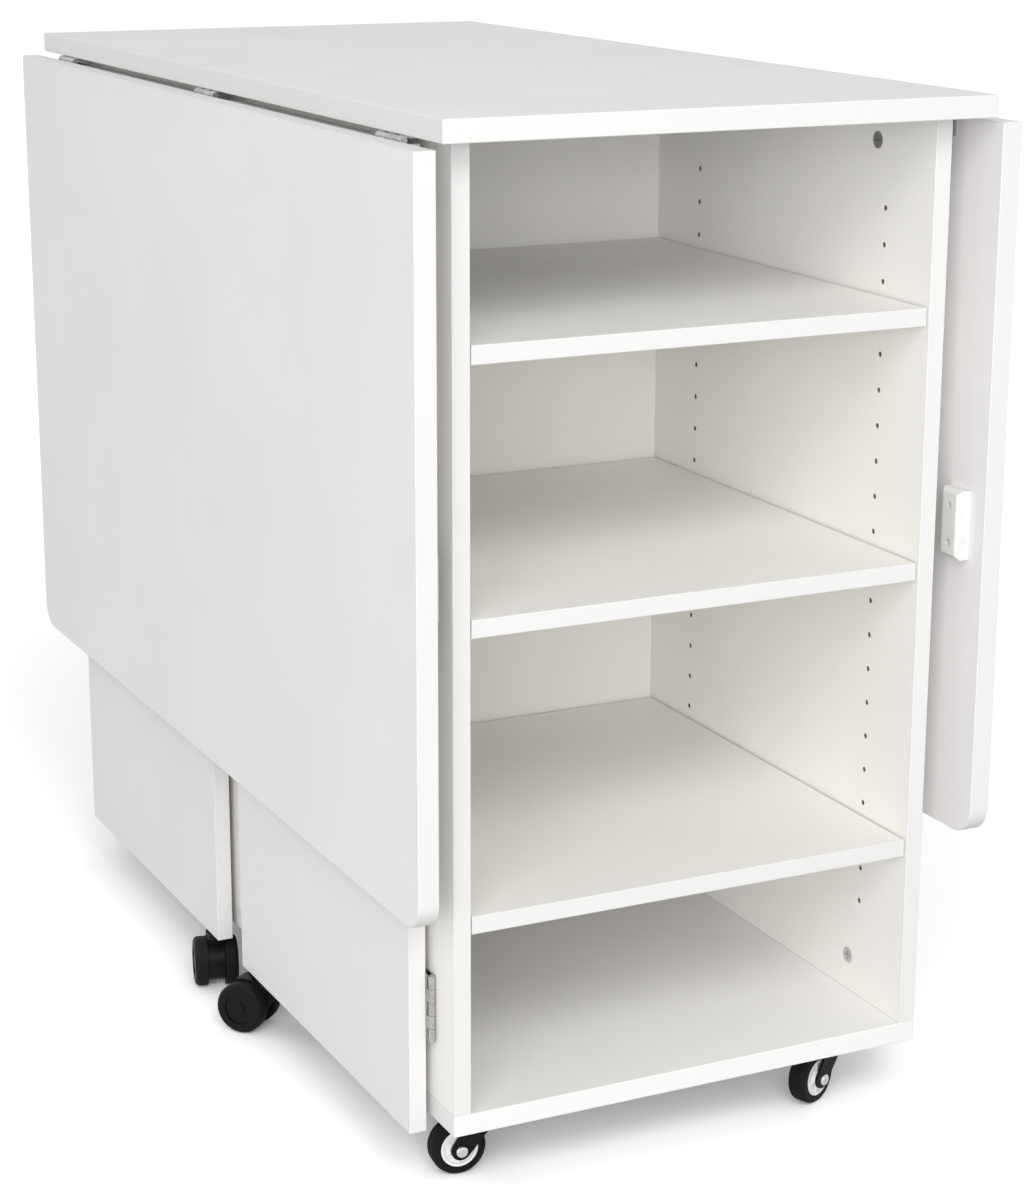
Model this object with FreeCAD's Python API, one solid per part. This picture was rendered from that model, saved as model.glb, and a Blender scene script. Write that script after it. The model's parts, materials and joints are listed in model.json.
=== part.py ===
import FreeCAD, Part
import math
import os

# Folding sewing cutting table on casters, leaves hanging and gates shut.
# Millimetres. X runs across the cabinet, the front shelf bay faces -Y, Z is up from the floor.
# The origin is on the floor under the middle of the top.

# Table top and drop leaves
table_height = 921.0
top_width = 506.0
top_depth = 1036.0
top_thickness = 19.0
leaf_drop = 631.0
leaf_thickness = 19.0
leaf_corner_radius = 25.0
leaf_side_gap = 5.5
leaf_top_gap = 4.0
edge_ease = 1.0

# Cabinet
top_end_overhang = 33.0
base_thickness = 19.0
side_thickness = 16.0
divider_thickness = 16.0

# Shelves and their pegs
shelf_thickness = 16.0
shelf_side_clearance = 1.5
shelf_front_setback = 2.0
shelf_back_clearance = 2.0
shelf_row_shares = (0.15, 0.5, 0.9)
peg_pitch = 32.0
peg_top_drop = 85.0
peg_base_rise = 90.0
peg_front_setback = 73.0
peg_back_setback = 80.0
peg_hole_radius = 2.5
peg_skin = 5.0
pin_end_gap = 1.0
pin_head_radius = 3.5
pin_head_length = 8.0
pin_seat_gap = 0.05

# Cam locks and their bolts
cam_radius = 7.5
cam_skin = 3.5
cam_top_drop = 28.0
cam_base_rise = 34.0
cam_end_setback = 89.0
cam_divider_offset = 140.0
cam_slot_length = 9.0
cam_slot_width = 1.6
cam_slot_depth = 1.5
cam_bolt_radius = 3.0
cam_bolt_bite = 11.0
cam_bolt_start = 2.0

# Gates
gate_thickness = 16.0
gate_setback = 42.0
gate_middle_gap = 69.0
gate_head_gap = 7.0
gate_leaf_gap = 4.7

# Butt hinges
leaf_hinge_length = 50.0
leaf_hinge_setback = 93.0
gate_hinge_length = 60.0
gate_hinge_setback = 115.0
gate_pin_reach = 5.0
plate_width = 18.0
plate_thickness = 1.5
knuckle_radius = 3.0
knuckle_relief = 0.4
knuckle_count = 5
knuckle_end_play = 0.15
hinge_pin_radius = 1.5
hinge_pin_overhang = 0.8
hinge_screw_shares = (-0.3, 0.3)

# Wood screws of the hinges and gate stops
screw_radius = 1.5
screw_length = 12.0
screw_head_radius = 3.0
screw_head_height = 1.2

# Gate stops on the leaves
stop_width = 28.0
stop_height = 62.0
stop_depth = 12.0
stop_chamfer = 4.0
stop_from_hinge = 350.0
stop_clearance = 0.5
stop_screw_floor = 5.0
stop_screw_shares = (-0.27, 0.27)

# Fork casters under the base
caster_side_inset = 55.5
caster_end_inset = 58.0
caster_trail = 26.0
wheel_radius = 25.0
wheel_width = 18.0
tyre_inner_radius = 17.0
tyre_corner_radius = 4.0
tyre_seat_gap = 0.05
hub_dish_radius = 14.5
hub_dish_depth = 2.5
hub_boss_radius = 7.0
hub_side_play = 0.7
plate_side = 60.0
plate_height = 2.5
plate_corner_radius = 7.0
plate_screw_margin = 8.0
plate_screw_radius = 2.0
plate_screw_length = 14.0
plate_screw_head_radius = 4.0
plate_screw_head_height = 1.6
raceway_radius = 17.0
raceway_height = 3.0
bearing_gap = 0.3
wheel_headroom = 5.7
crown_radius = 20.0
fork_sheet = 2.5
fork_gap = 2.5
fork_top_half_width = 14.0
fork_eye_radius = 9.0
kingpin_radius = 5.0
kingpin_head_radius = 8.0
kingpin_head_height = 2.0
axle_radius = 4.0
axle_cap_radius = 5.5
axle_cap_height = 4.0
axle_cap_round = 2.5

# Twin-wheel casters under the gates
twin_stem_inset = 36.0
twin_trail = 16.0
twin_radius = 25.0
twin_wheel_width = 13.0
twin_round = 5.0
twin_dish_radius = 15.0
twin_dish_depth = 1.5
twin_cap_radius = 6.0
twin_cap_height = 1.0
twin_side_gap = 0.5
twin_web_thickness = 17.0
twin_web_radius = 20.0
twin_hood_gap = 0.8
twin_hood_sheet = 1.6
twin_headroom = 1.1
twin_hood_start_deg = 70.0
twin_hood_end_deg = 172.0
twin_boss_radius = 8.0
twin_axle_radius = 3.0
twin_stem_radius = 4.0
twin_stem_length = 36.0
twin_stem_seat = 14.0

# Fits shared by the loose pieces
running_fit = 0.05
hole_fit = 0.1
cut_overrun = 1.0
match_tolerance = 0.01

# Heading of each caster's wheel, from its swivel axis, in degrees about Z from +X
base_caster_headings = {
    ("front", "left"): 174.0,
    ("front", "right"): -156.0,
    ("rear", "left"): 118.0,
    ("rear", "right"): 35.0,
}
gate_caster_headings = {
    ("front", "left"): 131.0,
    ("rear", "left"): -105.0,
    ("front", "right"): 49.0,
    ("rear", "right"): -125.0,
}

SIDES = {"left": -1, "right": 1}
ENDS = {"front": -1, "rear": 1}

# Places worked out from the sizes above
top_underside = table_height - top_thickness
crown_low = 2 * wheel_radius + wheel_headroom
crown_top = crown_low + fork_sheet
plate_low = crown_top + bearing_gap + raceway_height
base_lift = plate_low + plate_height
base_top = base_lift + base_thickness
plate_reach = knuckle_radius + knuckle_relief
leaf_inner = top_width / 2 + leaf_side_gap
half_width = leaf_inner - gate_leaf_gap - gate_thickness - 2 * plate_reach
half_depth = top_depth / 2 - top_end_overhang
inner_half_width = half_width - side_thickness
divider_face = divider_thickness / 2
leaf_top = top_underside - leaf_top_gap
leaf_bottom = leaf_top - leaf_drop
leaf_axis_x = leaf_inner - plate_reach
leaf_axis_z = top_underside - plate_reach
gate_inner = half_width + 2 * plate_reach
gate_outer = gate_inner + gate_thickness
gate_end = half_depth - gate_setback
gate_free = gate_middle_gap / 2
gate_top = top_underside - gate_head_gap
gate_bottom = 2 * twin_radius + twin_hood_gap + twin_hood_sheet + twin_headroom
gate_axis_x = half_width + plate_reach
gate_axis_y = gate_end + gate_pin_reach
peg_hole_depth = side_thickness - peg_skin
peg_first = top_underside - peg_top_drop
peg_rows = 1 + int((peg_first - base_top - peg_base_rise) / peg_pitch)
shelf_peg_rows = [round(share * (peg_rows - 1)) for share in shelf_row_shares]
twin_inner_face = twin_web_thickness / 2 + twin_side_gap
twin_outer_face = twin_inner_face + twin_wheel_width
twin_axle_half = twin_outer_face - twin_dish_depth - twin_cap_height
twin_stem_top = gate_bottom + twin_stem_length - twin_stem_seat
twin_stem_low = twin_stem_top - twin_stem_length

ORIGIN = FreeCAD.Vector(0, 0, 0)
X_AXIS = FreeCAD.Vector(1, 0, 0)
Y_AXIS = FreeCAD.Vector(0, 1, 0)
Z_AXIS = FreeCAD.Vector(0, 0, 1)


def point(x, y, z):
    """A place in the table's frame."""
    return FreeCAD.Vector(x, y, z)


def block(x_low, x_high, y_low, y_high, z_low, z_high):
    """A box between two corners."""
    return Part.makeBox(x_high - x_low, y_high - y_low, z_high - z_low, point(x_low, y_low, z_low))


def rod(start, direction, radius, length):
    """A round bar that runs from start along a unit direction."""
    return Part.makeCylinder(radius, length, start, direction)


def runs_along(edge, axis):
    """Whether a straight edge is parallel to an axis."""
    along = edge.Vertexes[-1].Point - edge.Vertexes[0].Point
    return along.cross(axis).Length < match_tolerance


def eased(board, axes):
    """A board with its edges along the given axes rounded as edge banding is."""
    edges = [e for e in board.Edges if any(runs_along(e, axis) for axis in axes)]
    return board.makeFillet(edge_ease, edges)


def mirrored(shape, side, end):
    """A piece made for the right rear quarter, moved to a side (-1 left) and an end (-1 front)."""
    if side < 0:
        shape = shape.mirror(ORIGIN, X_AXIS)
    if end < 0:
        shape = shape.mirror(ORIGIN, Y_AXIS)
    return shape


def quarters(shapes):
    """Copies of right rear pieces in all four quarters of the table."""
    return [mirrored(s, side, end) for s in shapes for side in SIDES.values() for end in ENDS.values()]


def halves(shapes):
    """Copies of right-hand pieces on both sides of the table."""
    return [mirrored(s, side, 1) for s in shapes for side in SIDES.values()]


def turned(shape, heading, place):
    """A caster piece made round its swivel axis, turned to its heading and set in place."""
    shape = shape.copy()
    shape.rotate(ORIGIN, Z_AXIS, heading)
    shape.translate(place)
    return shape


def save(name, solids):
    """Write a node, as one solid or as a group of separate solids."""
    shape = solids[0] if len(solids) == 1 else Part.makeCompound(solids)
    shape.exportStep("parts/" + name + ".step")


def sheet(corner, first, second, thickness):
    """A slab that spans two edge vectors from a corner, thickened along a third."""
    outline = [corner, corner + first, corner + first + second, corner + second, corner]
    return Part.Face(Part.makePolygon(outline)).extrude(thickness)


def pan_screw(seat, direction, radius, length, head_radius, head_height):
    """A screw whose head rests on seat and whose shank runs along direction."""
    head = rod(seat - direction * head_height, direction, head_radius, head_height)
    return head.fuse(rod(seat, direction, radius, length)).removeSplitter()


def wood_screw(seat, direction):
    """One of the screws that hold the hinges and the gate stops."""
    return pan_screw(seat, direction, screw_radius, screw_length, screw_head_radius, screw_head_height)


def screw_hole(seat, direction, radius, length):
    """The hole that a screw's shank goes into, open at its seat."""
    start = seat - direction * cut_overrun
    return rod(start, direction, radius + hole_fit, length + cut_overrun + hole_fit)


def hinge_plate(axis_mid, along, out, toward, length, own_knuckles):
    """One plate of a butt hinge, with its knuckles.

    out points from the pin across the plate, and toward from the pin to the wood it is screwed to.
    """
    pitch = length / knuckle_count
    slab_start = knuckle_radius + knuckle_relief
    corner = axis_mid - along * (length / 2)

    def slab(low, high, start, run):
        face = corner + along * start + toward * (plate_reach - plate_thickness)
        return sheet(face + out * low, out * (high - low), along * run, toward * plate_thickness)

    plate = slab(slab_start, plate_width, 0, length)
    for number in own_knuckles:
        start = number * pitch + knuckle_end_play
        run = pitch - 2 * knuckle_end_play
        barrel = rod(corner + along * start, along, knuckle_radius, run)
        plate = plate.fuse([slab(0, slab_start, start, run), barrel])
    bore_start = corner - along * cut_overrun
    bore = rod(bore_start, along, hinge_pin_radius + running_fit, length + 2 * cut_overrun)
    return plate.cut(bore).removeSplitter()


class ButtHinge:
    """A butt hinge's pieces and the screw holes it needs in the two boards."""

    def __init__(self, axis_mid, along, length, fixed, moving):
        """fixed and moving each give (out, toward) for their plate."""
        numbers = range(knuckle_count)
        self.fixed_plate, self.fixed_screws, self.fixed_holes = self.dressed(
            axis_mid, along, length, fixed, numbers[0::2]
        )
        self.moving_plate, self.moving_screws, self.moving_holes = self.dressed(
            axis_mid, along, length, moving, numbers[1::2]
        )
        pin_length_all = length + 2 * hinge_pin_overhang
        pin_start = axis_mid - along * (pin_length_all / 2)
        self.pin = rod(pin_start, along, hinge_pin_radius, pin_length_all)

    @staticmethod
    def dressed(axis_mid, along, length, directions, own_knuckles):
        """A drilled plate with its screws and the holes they need in the wood."""
        out, toward = directions
        plate = hinge_plate(axis_mid, along, out, toward, length, own_knuckles)
        across = (knuckle_radius + knuckle_relief + plate_width) / 2
        middle = axis_mid + out * across + toward * (plate_reach - plate_thickness)
        seats = [middle + along * (share * length) for share in hinge_screw_shares]
        screws = [wood_screw(seat, toward) for seat in seats]
        holes = [screw_hole(seat, toward, screw_radius, screw_length) for seat in seats]
        return plate.cut(holes), screws, holes


class CamLock:
    """A cam in a panel's face, its bolt, and the cuts that they need."""

    def __init__(self, face, into, toward, panel_thickness, end_distance):
        """face is the cam's centre on the panel, into points through the panel, toward to its end."""
        axis_point = face + into * (panel_thickness / 2)
        bolt_start = axis_point + toward * cam_bolt_start
        bolt_length = end_distance - cam_bolt_start + cam_bolt_bite
        self.bolt = rod(bolt_start, toward, cam_bolt_radius, bolt_length)
        cut_length = end_distance + cam_bolt_bite + hole_fit
        self.bolt_cut = rod(axis_point, toward, cam_bolt_radius + hole_fit, cut_length)
        depth = panel_thickness - cam_skin
        pocket_start = face - into * cut_overrun
        self.pocket = rod(pocket_start, into, cam_radius + hole_fit, depth + cut_overrun + hole_fit)
        cam = rod(face, into, cam_radius, depth)
        self.cam = cam.cut([self.bolt_cut] + self.slots(face, into, toward))

    @staticmethod
    def slots(face, into, toward):
        """The cross recess in the cam's face."""
        across = into.cross(toward)
        cuts = []
        for long_way, short_way in ((toward, across), (across, toward)):
            start = face - into * cut_overrun
            start = start - long_way * (cam_slot_length / 2) - short_way * (cam_slot_width / 2)
            depth = into * (cut_overrun + cam_slot_depth)
            cuts.append(sheet(start, long_way * cam_slot_length, short_way * cam_slot_width, depth))
        return cuts


def side_cams():
    """The right rear side panel's cams: one near the top, one near the base."""
    place_y = half_depth - cam_end_setback
    upper = point(inner_half_width, place_y, top_underside - cam_top_drop)
    lower = point(inner_half_width, place_y, base_top + cam_base_rise)
    return [
        CamLock(upper, X_AXIS, Z_AXIS, side_thickness, cam_top_drop),
        CamLock(lower, X_AXIS, -Z_AXIS, side_thickness, cam_base_rise),
    ]


def divider_cams():
    """The divider's right-hand cams, in its rear face."""
    upper = point(cam_divider_offset, divider_face, top_underside - cam_top_drop)
    lower = point(cam_divider_offset, divider_face, base_top + cam_base_rise)
    return [
        CamLock(upper, -Y_AXIS, Z_AXIS, divider_thickness, cam_top_drop),
        CamLock(lower, -Y_AXIS, -Z_AXIS, divider_thickness, cam_base_rise),
    ]


def leaf_hinges():
    """The right leaf's three butt hinges, from front to rear."""
    reach = top_depth / 2 - leaf_hinge_setback
    fixed = (-X_AXIS, Z_AXIS)
    moving = (-Z_AXIS, X_AXIS)
    return [
        ButtHinge(point(leaf_axis_x, y, leaf_axis_z), Y_AXIS, leaf_hinge_length, fixed, moving)
        for y in (-reach, 0, reach)
    ]


def gate_hinges():
    """The right rear gate's three butt hinges, from low to high."""
    low = gate_bottom + gate_hinge_setback
    high = gate_top - gate_hinge_setback
    fixed = (-Y_AXIS, -X_AXIS)
    moving = (-Y_AXIS, X_AXIS)
    return [
        ButtHinge(point(gate_axis_x, gate_axis_y, z), Z_AXIS, gate_hinge_length, fixed, moving)
        for z in (low, (low + high) / 2, high)
    ]


def peg_places():
    """(y, z) of each peg hole in the rear bay, one list to a column."""
    rows = [peg_first - peg_pitch * row for row in range(peg_rows)]
    columns = (half_depth - peg_front_setback, divider_face + peg_back_setback)
    return [[(y, z) for z in rows] for y in columns]


def side_panel():
    """The right side panel, bored for pegs, cams, bolts and gate hinge screws."""
    panel = block(inner_half_width, half_width, -half_depth, half_depth, base_top, top_underside)
    panel = eased(panel, (Z_AXIS,))
    cuts = []
    for column in peg_places():
        for y, z in column:
            start = point(inner_half_width - cut_overrun, y, z)
            cuts.append(rod(start, X_AXIS, peg_hole_radius, peg_hole_depth + cut_overrun))
    for cam in side_cams():
        cuts += [cam.pocket, cam.bolt_cut]
    for hinge in gate_hinges():
        cuts += hinge.fixed_holes
    return panel.cut([mirrored(c, 1, end) for c in cuts for end in ENDS.values()])


def divider_panel():
    """The upright board between the two bays."""
    board = block(-inner_half_width, inner_half_width, -divider_face, divider_face, base_top, top_underside)
    cuts = []
    for cam in divider_cams():
        cuts += [cam.pocket, cam.bolt_cut]
    return board.cut(halves(cuts))


def cam_bolt_holes():
    """Every hole that a cam bolt needs in the top and the base."""
    return quarters([c.bolt_cut for c in side_cams()]) + halves([c.bolt_cut for c in divider_cams()])


def top_panel():
    """The table's fixed top."""
    board = block(-top_width / 2, top_width / 2, -top_depth / 2, top_depth / 2, top_underside, table_height)
    board = eased(board, (X_AXIS, Y_AXIS, Z_AXIS))
    hinge_holes = [hole for hinge in leaf_hinges() for hole in hinge.fixed_holes]
    return board.cut(cam_bolt_holes() + halves(hinge_holes))


def base_panel():
    """The board under the side panels, which carries the fork casters."""
    board = block(-half_width, half_width, -half_depth, half_depth, base_lift, base_top)
    board = eased(board, (X_AXIS, Y_AXIS, Z_AXIS))
    return board.cut(cam_bolt_holes() + quarters(caster_screw_holes()))


def shelf(row):
    """A rear bay shelf that rests on the pins in a peg row."""
    z_low = peg_first - peg_pitch * row + pin_head_radius + pin_seat_gap
    reach = inner_half_width - shelf_side_clearance
    board = block(
        -reach,
        reach,
        divider_face + shelf_back_clearance,
        half_depth - shelf_front_setback,
        z_low,
        z_low + shelf_thickness,
    )
    return eased(board, (X_AXIS,))


def shelf_pins():
    """The right rear bay's pins: a peg in the panel and a head under the shelf."""
    pins = []
    for column in peg_places():
        for row in shelf_peg_rows:
            y, z = column[row]
            seat = point(inner_half_width, y, z)
            peg = rod(seat, X_AXIS, peg_hole_radius - hole_fit, peg_hole_depth - pin_end_gap)
            head = rod(seat, -X_AXIS, pin_head_radius, pin_head_length)
            pins.append(peg.fuse(head).removeSplitter())
    return pins


def stop_place_y():
    """The side of a rear gate stop that the opened gate meets."""
    return gate_axis_y + plate_reach + gate_thickness + stop_clearance


def stop_seats():
    """The screw seats of the right leaf's rear gate stop."""
    z_mid = leaf_axis_z - stop_from_hinge
    y_mid = stop_place_y() + stop_width / 2
    seat_x = leaf_inner - stop_screw_floor
    return [point(seat_x, y_mid, z_mid + share * stop_height) for share in stop_screw_shares]


def gate_stop():
    """The right leaf's rear gate stop: a plastic block with sloped ends and two sunk screws."""
    y_low = stop_place_y()
    z_mid = leaf_axis_z - stop_from_hinge
    body = block(
        leaf_inner - stop_depth,
        leaf_inner,
        y_low,
        y_low + stop_width,
        z_mid - stop_height / 2,
        z_mid + stop_height / 2,
    )
    face_x = leaf_inner - stop_depth
    edges = [e for e in body.Edges if abs(e.CenterOfMass.x - face_x) < match_tolerance]
    body = body.makeChamfer(stop_chamfer, edges)
    cuts = [screw_hole(seat, X_AXIS, screw_radius, screw_length) for seat in stop_seats()]
    for seat in stop_seats():
        cuts.append(rod(seat, -X_AXIS, screw_head_radius + hole_fit, stop_depth))
    return body.cut(cuts)


def leaf_screws():
    """The right leaf's screws: hinge plates, then both gate stops."""
    screws = [s for hinge in leaf_hinges() for s in hinge.moving_screws]
    for seat in stop_seats():
        screws += [mirrored(wood_screw(seat, X_AXIS), 1, end) for end in ENDS.values()]
    return screws


def leaf_panel():
    """The right drop leaf, hanging."""
    board = block(
        leaf_inner, leaf_inner + leaf_thickness, -top_depth / 2, top_depth / 2, leaf_bottom, leaf_top
    )
    middle = leaf_top - leaf_drop / 2
    corners = [e for e in board.Edges if runs_along(e, X_AXIS) and e.CenterOfMass.z < middle]
    board = board.makeFillet(leaf_corner_radius, corners)
    rims = [e for e in board.Edges if not runs_along(e, X_AXIS)]
    board = board.makeFillet(edge_ease, rims)
    cuts = [hole for hinge in leaf_hinges() for hole in hinge.moving_holes]
    stop_holes = [screw_hole(seat, X_AXIS, screw_radius, screw_length) for seat in stop_seats()]
    cuts += [mirrored(hole, 1, end) for hole in stop_holes for end in ENDS.values()]
    return board.cut(cuts)


def twin_stem_place():
    """The right rear gate caster's swivel axis on the floor."""
    return point((gate_inner + gate_outer) / 2, gate_free + twin_stem_inset, 0)


def gate_panel():
    """The right rear gate, shut against the cabinet."""
    board = block(gate_inner, gate_outer, gate_free, gate_end, gate_bottom, gate_top)
    board = eased(board, (X_AXIS, Y_AXIS, Z_AXIS))
    cuts = [hole for hinge in gate_hinges() for hole in hinge.moving_holes]
    socket_start = twin_stem_place() + Z_AXIS * (gate_bottom - cut_overrun)
    socket_depth = twin_stem_top - gate_bottom + cut_overrun + hole_fit
    cuts.append(rod(socket_start, Z_AXIS, twin_stem_radius + running_fit, socket_depth))
    return board.cut(cuts)


# Fork casters, made round their swivel axis with the wheel on +X


def caster_place():
    """The right rear fork caster's swivel axis on the floor."""
    return point(half_width - caster_side_inset, half_depth - caster_end_inset, 0)


def caster_screw_seats():
    """Where the right rear caster plate's screw heads rest."""
    reach = plate_side / 2 - plate_screw_margin
    centre = caster_place() + Z_AXIS * plate_low
    return [centre + point(i * reach, j * reach, 0) for i in (-1, 1) for j in (-1, 1)]


def caster_screw_holes():
    """The holes that the right rear caster plate's screws need."""
    seats = caster_screw_seats()
    return [screw_hole(seat, Z_AXIS, plate_screw_radius, plate_screw_length) for seat in seats]


def caster_screws():
    """The right rear caster plate's screws."""
    return [
        pan_screw(
            seat,
            Z_AXIS,
            plate_screw_radius,
            plate_screw_length,
            plate_screw_head_radius,
            plate_screw_head_height,
        )
        for seat in caster_screw_seats()
    ]


def caster_plate():
    """The right rear caster's mounting plate, with its raceway and kingpin."""
    centre = caster_place()
    reach = plate_side / 2
    plate = block(-reach, reach, -reach, reach, plate_low, base_lift)
    corners = [e for e in plate.Edges if runs_along(e, Z_AXIS)]
    plate = plate.makeFillet(plate_corner_radius, corners)
    plate.translate(centre)
    race_start = centre + Z_AXIS * (plate_low - raceway_height)
    race = rod(race_start, Z_AXIS, raceway_radius, raceway_height)
    head_top = crown_low - bearing_gap
    head_seat = centre + Z_AXIS * head_top
    head = rod(head_seat, -Z_AXIS, kingpin_head_radius, kingpin_head_height)
    king = rod(head_seat, Z_AXIS, kingpin_radius, plate_low - head_top)
    return plate.fuse([race, head, king]).removeSplitter().cut(caster_screw_holes())


def tangent_point(start, centre, radius, side):
    """Where a line from start touches a circle in the XZ plane; side is 1 or -1."""
    to_start = start - centre
    distance = to_start.Length
    swing = side * math.acos(radius / distance)
    base = math.atan2(to_start.z, to_start.x)
    return centre + point(radius * math.cos(base + swing), 0, radius * math.sin(base + swing))


def fork_leg(y_low):
    """One cheek of the fork: it tapers from the crown to a round eye at the axle."""
    eye = point(caster_trail, 0, wheel_radius)
    back = point(-fork_top_half_width, 0, crown_top)
    front = point(fork_top_half_width, 0, crown_top)
    low = tangent_point(back, eye, fork_eye_radius, 1)
    high = tangent_point(front, eye, fork_eye_radius, -1)
    tip = eye + (eye - (back + front) / 2).normalize() * fork_eye_radius
    lines = [Part.makeLine(low, back), Part.makeLine(back, front), Part.makeLine(front, high)]
    outline = Part.Wire(lines + [Part.Arc(high, tip, low).toShape()])
    leg = Part.Face(outline).extrude(Y_AXIS * fork_sheet)
    leg.translate(Y_AXIS * y_low)
    return leg


def caster_fork():
    """The swivelling fork: crown and two cheeks, bored for kingpin and axle."""
    cheek = wheel_width / 2 + fork_gap
    crown = rod(Z_AXIS * crown_low, Z_AXIS, crown_radius, fork_sheet)
    fork = crown.fuse([fork_leg(cheek), fork_leg(-cheek - fork_sheet)])
    king_cut = rod(ORIGIN, Z_AXIS, kingpin_radius + running_fit, base_lift)
    reach = cheek + fork_sheet + cut_overrun
    axle_cut = rod(point(caster_trail, -reach, wheel_radius), Y_AXIS, axle_radius + running_fit, 2 * reach)
    return fork.cut([king_cut, axle_cut]).removeSplitter()


def caster_axle():
    """The axle bolt with a domed cap outside each cheek."""
    reach = wheel_width / 2 + fork_gap + fork_sheet
    axle = rod(point(caster_trail, -reach, wheel_radius), Y_AXIS, axle_radius, 2 * reach)
    caps = []
    middle = reach + axle_cap_height / 2
    for way in (-1, 1):
        cap_start = point(caster_trail, way * reach, wheel_radius)
        cap = rod(cap_start, Y_AXIS * way, axle_cap_radius, axle_cap_height)
        outer = [e for e in cap.Edges if e.isClosed() and abs(e.CenterOfMass.y) > middle]
        caps.append(cap.makeFillet(axle_cap_round, outer))
    return axle.fuse(caps).removeSplitter()


def caster_tyre():
    """The rubber tread, rounded at both shoulders."""
    start = point(caster_trail, -wheel_width / 2, wheel_radius)
    tyre = rod(start, Y_AXIS, wheel_radius, wheel_width)
    shoulders = [e for e in tyre.Edges if e.isClosed()]
    tyre = tyre.makeFillet(tyre_corner_radius, shoulders)
    bore = rod(start - Y_AXIS * cut_overrun, Y_AXIS, tyre_inner_radius, wheel_width + 2 * cut_overrun)
    return tyre.cut(bore)


def caster_hub():
    """The wheel's core: a rim, a dished web on both faces and a long boss."""
    centre = point(caster_trail, 0, wheel_radius)
    half = wheel_width / 2
    boss_half = half + fork_gap - hub_side_play
    core = rod(centre - Y_AXIS * half, Y_AXIS, tyre_inner_radius - tyre_seat_gap, wheel_width)
    dishes = []
    for way in (-1, 1):
        floor = centre + Y_AXIS * (way * (half - hub_dish_depth))
        dishes.append(rod(floor, Y_AXIS * way, hub_dish_radius, hub_dish_depth + cut_overrun))
    core = core.cut(dishes)
    boss = rod(centre - Y_AXIS * boss_half, Y_AXIS, hub_boss_radius, 2 * boss_half)
    bore_start = centre - Y_AXIS * (boss_half + cut_overrun)
    bore = rod(bore_start, Y_AXIS, axle_radius + running_fit, 2 * (boss_half + cut_overrun))
    return core.fuse(boss).cut(bore).removeSplitter()


# Twin-wheel casters, made round their stem with the axle on +X


def twin_hood():
    """The caster's body between its wheels: a web, a hood that rises above the treads and a stem boss."""
    centre = point(twin_trail, 0, twin_radius)
    half_web = twin_web_thickness / 2
    web_start = centre - Y_AXIS * half_web
    web = rod(web_start, Y_AXIS, twin_web_radius, twin_web_thickness)
    boss_top = 2 * twin_radius + twin_hood_gap
    hood_radius = twin_radius + twin_hood_gap + twin_hood_sheet
    reach = 2 * hood_radius
    angles = [math.radians(a) for a in (twin_hood_start_deg, twin_hood_end_deg)]
    mid = sum(angles) / len(angles)
    fan = [centre] + [
        centre + point(reach * math.cos(a), 0, reach * math.sin(a)) for a in (angles[0], mid, angles[1])
    ]
    sector = Part.Face(Part.makePolygon(fan + fan[:1])).extrude(Y_AXIS * twin_web_thickness)
    sector.translate(Y_AXIS * -half_web)
    hood = rod(web_start, Y_AXIS, hood_radius, twin_web_thickness).common(sector)
    boss = rod(Z_AXIS * twin_radius, Z_AXIS, twin_boss_radius, boss_top - twin_radius)
    between = block(-reach, reach, -half_web, half_web, 0, boss_top)
    body = web.fuse([hood, boss.common(between)])
    axle_cut = rod(web_start, Y_AXIS, twin_axle_radius + running_fit, twin_web_thickness)
    stem_bore = twin_stem_radius + running_fit
    stem_cut = rod(Z_AXIS * twin_stem_low, Z_AXIS, stem_bore, twin_stem_length + cut_overrun)
    return body.cut([axle_cut, stem_cut]).removeSplitter()


def twin_stem():
    """The steel stem that turns in the gate's lower edge."""
    return rod(Z_AXIS * twin_stem_low, Z_AXIS, twin_stem_radius, twin_stem_length)


def twin_axle():
    """The pin through the web that carries both wheels."""
    start = point(twin_trail, -twin_axle_half, twin_radius)
    return rod(start, Y_AXIS, twin_axle_radius, 2 * twin_axle_half)


def twin_wheel():
    """One wheel of the pair: rounded shoulder, shallow dish and a hub cap."""
    start = point(twin_trail, twin_inner_face, twin_radius)
    wheel = rod(start, Y_AXIS, twin_radius, twin_wheel_width)
    middle = twin_inner_face + twin_wheel_width / 2
    shoulder = [e for e in wheel.Edges if e.isClosed() and e.CenterOfMass.y > middle]
    wheel = wheel.makeFillet(twin_round, shoulder)
    dish_start = start + Y_AXIS * (twin_wheel_width - twin_dish_depth)
    dish = rod(dish_start, Y_AXIS, twin_dish_radius, twin_dish_depth + cut_overrun)
    cap = rod(dish_start, Y_AXIS, twin_cap_radius, twin_cap_height)
    bore_start = start - Y_AXIS * cut_overrun
    bore_end = twin_axle_half - twin_inner_face + hole_fit
    bore = rod(bore_start, Y_AXIS, twin_axle_radius + running_fit, bore_end + cut_overrun)
    return wheel.cut(dish).fuse(cap).cut(bore).removeSplitter()


def export_cabinet():
    """The fixed boards, their fittings and the fixed half of every hinge and caster."""
    save("top_panel", [top_panel()])
    save("base_panel", [base_panel()])
    side = side_panel()
    for name, way in SIDES.items():
        save(name + "_side_panel", [mirrored(side, way, 1)])
    save("centre_divider", [divider_panel()])
    for level, row in zip(("upper", "middle", "lower"), shelf_peg_rows):
        for end, way in ENDS.items():
            save(end + "_" + level + "_shelf", [mirrored(shelf(row), 1, way)])
    save("shelf_pins", quarters(shelf_pins()))
    cams, divider = side_cams(), divider_cams()
    save("cam_locks", quarters([c.cam for c in cams]) + halves([c.cam for c in divider]))
    save("cam_bolts", quarters([c.bolt for c in cams]) + halves([c.bolt for c in divider]))
    save("base_caster_plates", quarters([caster_plate()]))


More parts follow.
